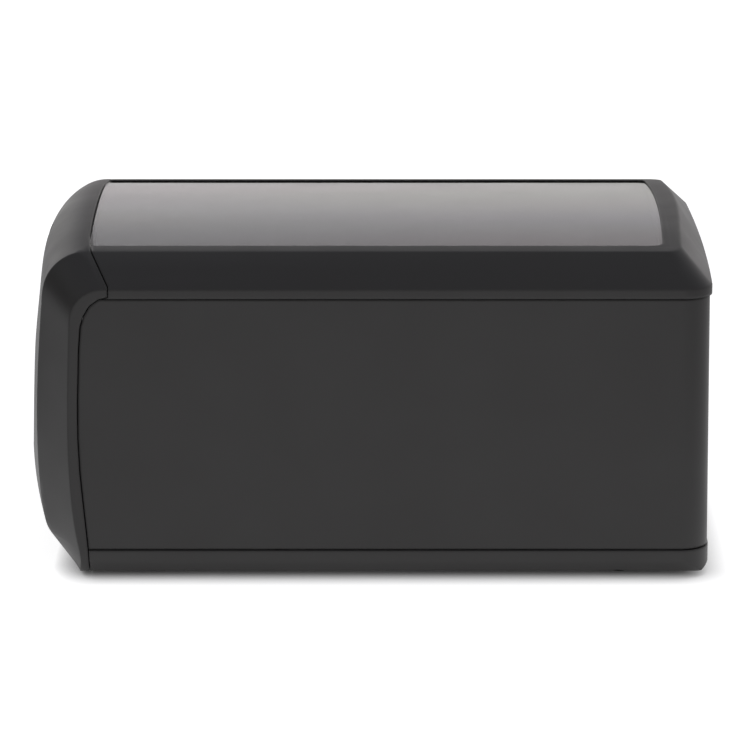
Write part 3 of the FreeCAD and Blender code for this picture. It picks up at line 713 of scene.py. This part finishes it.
@dataclass
class DisplayWindow:
    """Clear pane that follows the crown of the top cover."""

    node: str = "display_window"
    thickness: float = 2.0 * MM
    rows: int = 64              # points across, which follow the crown
    columns: int = 3            # points along, which is straight
    weld: float = 0.002 * MM
    sharp_deg: float = 40.0

    def build(self, material: bpy.types.Material) -> bpy.types.Object:
        """Bend a flat sheet to the crown and give it its thickness.

        Args:
            material: the pane's finish.

        Returns:
            The pane.
        """
        low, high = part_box(self.node)
        t = GeometryTree("window_pane", [
            NodeTreeInput("Length", high.x - low.x), NodeTreeInput("Width", high.y - low.y),
            NodeTreeInput("Crown level", high.z), NodeTreeInput("Crown rise", CROWN_RISE),
            NodeTreeInput("Crease half", CREASE_HALF), NodeTreeInput("Thickness", self.thickness),
            NodeTreeInput("Rows", self.rows, "NodeSocketInt")])
        sheet = t.add("GeometryNodeMeshGrid", {
            "Size X": t.size("Length"), "Size Y": t.size("Width"),
            "Vertices X": self.columns, "Vertices Y": t.size("Rows")})
        where = t.add("ShaderNodeSeparateXYZ", {0: t.add("GeometryNodeInputPosition").outputs[0]})
        share = t.math("DIVIDE", where.outputs["Y"], t.size("Crease half"))
        fall = t.math("MULTIPLY", t.math("MULTIPLY", share, share), t.size("Crown rise"))
        bent = t.add("ShaderNodeCombineXYZ", {
            "X": t.math("ADD", where.outputs["X"], (low.x + high.x) / 2),
            "Y": where.outputs["Y"], "Z": t.math("SUBTRACT", t.size("Crown level"), fall)})
        crown = t.add("GeometryNodeSetPosition", {
            "Geometry": sheet.outputs["Mesh"], "Position": bent.outputs[0]})
        back = t.add("GeometryNodeExtrudeMesh", {
            "Mesh": crown.outputs[0], "Offset Scale": 1.0,
            "Offset": t.level(t.math("MULTIPLY", t.size("Thickness"), -1.0)),
            "Individual": False})
        flipped = t.add("GeometryNodeFlipFaces", {"Mesh": crown.outputs[0]})
        closed = t.add("GeometryNodeJoinGeometry", {"Geometry": back.outputs["Mesh"]})
        t.tree.links.new(flipped.outputs[0], closed.inputs["Geometry"])
        welded = t.add("GeometryNodeMergeByDistance", {
            "Geometry": closed.outputs[0], "Distance": self.weld})
        smooth = t.add("GeometryNodeSetShadeSmooth", {
            "Geometry": welded.outputs[0], "Shade Smooth": True})
        t.finish(smooth.outputs[0], material)
        piece = t.run("display_pane")
        work = bmesh.new()
        work.from_mesh(piece.data)
        bmesh.ops.recalc_face_normals(work, faces=work.faces)
        for edge in work.edges:
            edge.smooth = edge.calc_face_angle(0.0) < math.radians(self.sharp_deg)
        work.to_mesh(piece.data)
        work.free()
        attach(piece, "housing")
        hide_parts(self.node)
        log.info("%s bent to the crown", piece.name)
        return piece


@dataclass
class Housing:
    """Base, body shell and top cover, with what is fixed inside them."""

    shells: tuple[str, ...] = ("base_tray", "body_shell", "top_cover")
    fixed_inner: tuple[str, ...] = ("magazine_tray", "rod_bracket_front", "rod_bracket_rear")

    def build(self, finishes: Finishes) -> None:
        """Dress the housing.

        Args:
            finishes: the object's finishes.
        """
        for node in self.shells:
            soft_copy(node, node + "_moulding", "housing", finishes.shell)
        for node in self.fixed_inner:
            dress(node, finishes.inner)
        dress("guide_rods", finishes.rod)
        dress("lock_strike", finishes.plated)
        dress("ballast_bars", finishes.ballast)
        dress("rubber_feet", finishes.foot)
        DisplayWindow().build(finishes.window)
        PusherSprings().build(finishes.wire)


@dataclass
class FrontDoor:
    """Drop-down dispensing front with its mouth insert and lock."""

    lock_nodes: tuple[str, ...] = ("lock_sleeve", "lock_barrel")

    def build(self, finishes: Finishes) -> None:
        """Dress the front.

        Args:
            finishes: the object's finishes.
        """
        soft_copy("front_bezel", "front_bezel_moulding", "front", finishes.shell, 28.0)
        soft_copy("mouth_insert", "mouth_insert_moulding", "front", finishes.inner)
        dress("hinge_pins", finishes.plated)
        for node in self.lock_nodes:
            dress(node, finishes.lock)
        for node in ("lock_nut", "lock_cam"):
            dress(node, finishes.plated)


@dataclass
class Pusher:
    """Napkin pusher, its carriage and bushes."""

    mouldings: tuple[str, ...] = ("pusher_plate", "pusher_carriage")

    def build(self, finishes: Finishes) -> None:
        """Dress the pusher.

        Args:
            finishes: the object's finishes.
        """
        for node in self.mouldings:
            dress(node, finishes.inner)
        dress("carriage_bushes", finishes.bush)


@dataclass
class Fasteners:
    """Every group of screws, with the places that the CAD gives them."""

    bodies: dict[str, str] = field(default_factory=lambda: {
        "base_screws": "housing", "cover_screws": "housing", "insert_screws": "front",
        "tray_screws": "housing", "bracket_screws": "housing", "ballast_screws": "housing",
        "strike_screws": "housing", "pusher_screws": "pusher", "cam_screw": "lock_core"})

    def groups(self) -> list[ScrewGroup]:
        """List the screw groups.

        Returns:
            One group for each CAD node of screws.
        """
        up, down, back = (0, 0, 1), (0, 0, -1), (1, 0, 0)       # where the heads face
        tabs = [(x * MM, s * 89.0 * MM, 116.9 * MM) for x in (-91.5, 0.0, 117.5) for s in (-1, 1)]
        body = [(x * MM, s * 91.5 * MM, 6.5 * MM) for x in (-78.5, 8.0, 111.5) for s in (-1, 1)]
        insert = [(-126.5 * MM, s * 72 * MM, z * MM) for s in (-1, 1) for z in (31.5, 113.5)]
        tray = [(x * MM, s * 70 * MM, 16.5 * MM) for x in (-101.5, 109.5) for s in (-1, 1)]
        bracket = [(x * MM, s * 30 * MM, 2.4 * MM) for x in (-117.925, 136.0) for s in (-1, 1)]
        ballast = [(x * MM, s * 64 * MM, 2.4 * MM) for x in (-56.5, 66.5) for s in (-1, 1)]
        strike = [(-118.1 * MM, s * 9 * MM, 142.0 * MM) for s in (-1, 1)]
        pusher = [(x * MM, 0.0, 19.4 * MM) for x in (-109.025, -97.725)]
        make = self._group
        return [make("base_screws", down, body, 16), make("cover_screws", down, tabs, 10),
                make("insert_screws", back, insert, 10), make("tray_screws", up, tray, 9, 2.8, 1.1),
                make("bracket_screws", down, bracket, 7.5, 2.8, 0.85),
                make("ballast_screws", down, ballast, 6, 2.8, 0.85),
                make("strike_screws", down, strike, 4.4, 2.6, 1.2),
                make("pusher_screws", up, pusher, 8),
                make("cam_screw", back, [(-120.48 * MM, 0.0, 133.0 * MM)], 8, 3.4, 1.5)]

    def _group(self, node: str, head: Triple, stations: list[Triple], length: float,
               head_r: float = 2.8, head_h: float = 1.6) -> ScrewGroup:
        """Describe one group, with its sizes in millimetres.

        Args:
            node: the CAD node of these screws.
            head: direction that their heads face.
            stations: where they stand, in metres.
            length: length of the shank.
            head_r: radius of the head.
            head_h: its height.

        Returns:
            The group.
        """
        return ScrewGroup(node, self.bodies[node], head, stations, length * MM, head_r * MM,
                          head_h * MM)

    def build(self, finishes: Finishes) -> None:
        """Build every group.

        Args:
            finishes: the object's finishes.
        """
        for group in self.groups():
            group.build(finishes.screw)


# ---- studio -----------------------------------------------------------------------------
@dataclass
class Lamp:
    """One soft square lamp."""

    name: str
    at: Triple
    size: float
    power: float

    def hang(self, aim: Triple) -> None:
        """Hang the lamp.

        Args:
            aim: point that it faces.
        """
        data = bpy.data.lights.new(self.name, "AREA")
        data.shape, data.size, data.energy = "SQUARE", self.size, self.power
        lamp = bpy.data.objects.new(self.name, data)
        lamp.location = self.at
        lamp.rotation_euler = (Vector(self.at) - Vector(aim)).to_track_quat("Z", "Y").to_euler()
        bpy.context.scene.collection.objects.link(lamp)
        log.info("%s hung", self.name)


@dataclass
class Studio:
    """Pale floor, soft light and the camera."""

    elevation: float = 14.0
    distance: float = 2.080
    lens: float = 216.2
    sensor: float = 36.0
    sight: float = 50.0         # how far the camera sees, in metres
    aim: Triple = (0.0035, 0.0, 0.069)
    floor_side: float = 6.0
    floor_back: float = 2.2
    fill: Lamp = field(default_factory=lambda: Lamp("fill_front", (0.5, -2.0, 1.9), 1.6, 5))
    # height of a direction, and the light that comes from there
    sky_bands: tuple[tuple[float, str], ...] = (
        (0.0, "cecbcb"), (0.24, "dad7d7"), (0.5, "c0c0c2"), (0.78, "afafb4"), (1.0, "adadb2"))

    def floor(self) -> None:
        """Lay the pale floor, whose glow holds a painted contact shadow and a painted pool of
        light.
        """
        side, back = self.floor_side, self.floor_back
        mesh = bpy.data.meshes.new("floor")
        mesh.from_pydata([(-side, -side, 0), (side, -side, 0), (side, back, 0), (-side, back, 0)],
                         [], [(0, 1, 2, 3)])
        paint = Paint("pale_sweep_paper_painted_shade_and_glow")
        tree = paint.tree
        across = add_node(tree, "ShaderNodeSeparateXYZ", {0: paint.place}).outputs
        # painted contact shadow: ambient occlusion dims the floor's glow near the object, tighter
        # under the overhang of the front
        reach = remap(tree, across["X"], (-0.16, -0.125), (0.006, 0.012), smooth=False)
        painted_contact_shadow = add_node(tree, "ShaderNodeAmbientOcclusion", {"Distance": reach}, samples=12)
        # painted pool of light: the floor glows in a lane before and behind the object and is
        # dimmer beside it
        aside = calc(tree, "MULTIPLY_ADD", across["Y"], -0.075, calc(tree, "ABSOLUTE", across["X"]))
        painted_light_pool = remap(tree, aside, (0.2, 0.55), (0.87, 0.45))
        # the floor's glow sets its brightness, so the painted contact shadow and the painted pool
        # of light show in it
        paint.set(
            Base_Color=linear("bcbcbc"), Roughness=0.9, Specular_IOR_Level=0.1,
            Emission_Color=linear("ffffff"),
            Emission_Strength=calc(tree, "MULTIPLY", painted_contact_shadow.outputs["AO"], painted_light_pool))
        mesh.materials.append(paint.material)
        plane = bpy.data.objects.new("floor", mesh)
        bpy.context.scene.collection.objects.link(plane)
        log.info("floor laid")

    def sky(self) -> None:
        """Light the surroundings: bright at the horizon and dimmer overhead."""
        world = bpy.data.worlds.new("studio")
        bpy.context.scene.world = world
        world.use_nodes = True
        tree = world.node_tree
        back = tree.nodes["Background"]
        place = add_node(tree, "ShaderNodeTexCoord").outputs["Generated"]
        axis = add_node(tree, "ShaderNodeSeparateXYZ", {0: place}).outputs
        bands = add_node(tree, "ShaderNodeValToRGB", {"Fac": axis["Z"]})
        stops = bands.color_ramp.elements
        first, *between, last = self.sky_bands
        for stop, (at, shade) in zip(stops, (first, last)):
            stop.position, stop.color = at, linear(shade)
        for at, shade in between:
            stops.new(at).color = linear(shade)
        cloud = add_node(tree, "ShaderNodeTexNoise", {"Vector": place, "Scale": 5.0, "Detail": 1.0})
        tree.links.new(mix(tree, 0.09, bands.outputs["Color"], cloud.outputs["Color"], "OVERLAY"),
                       back.inputs["Color"])
        # brighter panels behind, more so on the left, and a dimmer room on the near side
        panel = remap(tree, calc(tree, "ABSOLUTE", axis["X"]), (0.1, 0.28))
        behind = remap(tree, axis["Y"], (0.55, 0.8))
        lean = remap(tree, axis["X"], (-0.3, 0.3), (1.15, 0.62))
        room = remap(tree, axis["Y"], (-0.8, -0.2), (0.7, 1.0))
        power = calc(tree, "MULTIPLY_ADD", calc(tree, "MULTIPLY", panel, behind), lean, room)
        # a dark card low on the left keeps the front's side faces from catching light
        card = remap(tree, axis["X"], (-0.8, -0.35), (0.3, 1.0))
        above = remap(tree, axis["Z"], (0.25, 0.55))
        shade = calc(tree, "MAXIMUM", card, above)
        tree.links.new(calc(tree, "MULTIPLY", power, shade), back.inputs["Strength"])
        log.info("sky lit")

    def camera(self) -> None:
        """Set the camera at the viewing angle."""
        data = bpy.data.cameras.new("camera")
        data.lens, data.sensor_width = self.lens, self.sensor
        data.clip_end = self.sight
        tilt = math.radians(self.elevation)
        cam = bpy.data.objects.new("camera", data)
        offset = Vector((0, -math.cos(tilt), math.sin(tilt))) * self.distance
        cam.location = Vector(self.aim) + offset
        cam.rotation_euler = offset.to_track_quat("Z", "Y").to_euler()
        bpy.context.scene.collection.objects.link(cam)
        bpy.context.scene.camera = cam

    def build(self) -> None:
        """Set up floor, light and camera."""
        self.floor()
        self.sky()
        self.fill.hang(self.aim)
        self.camera()
        bpy.context.scene.view_settings.view_transform = "Standard"


def main() -> None:
    """Build the sub-assemblies in order and set the studio."""
    finishes = Finishes()
    Housing().build(finishes)
    FrontDoor().build(finishes)
    Pusher().build(finishes)
    Fasteners().build(finishes)
    Studio().build()


if __name__ == "__main__":
    main()
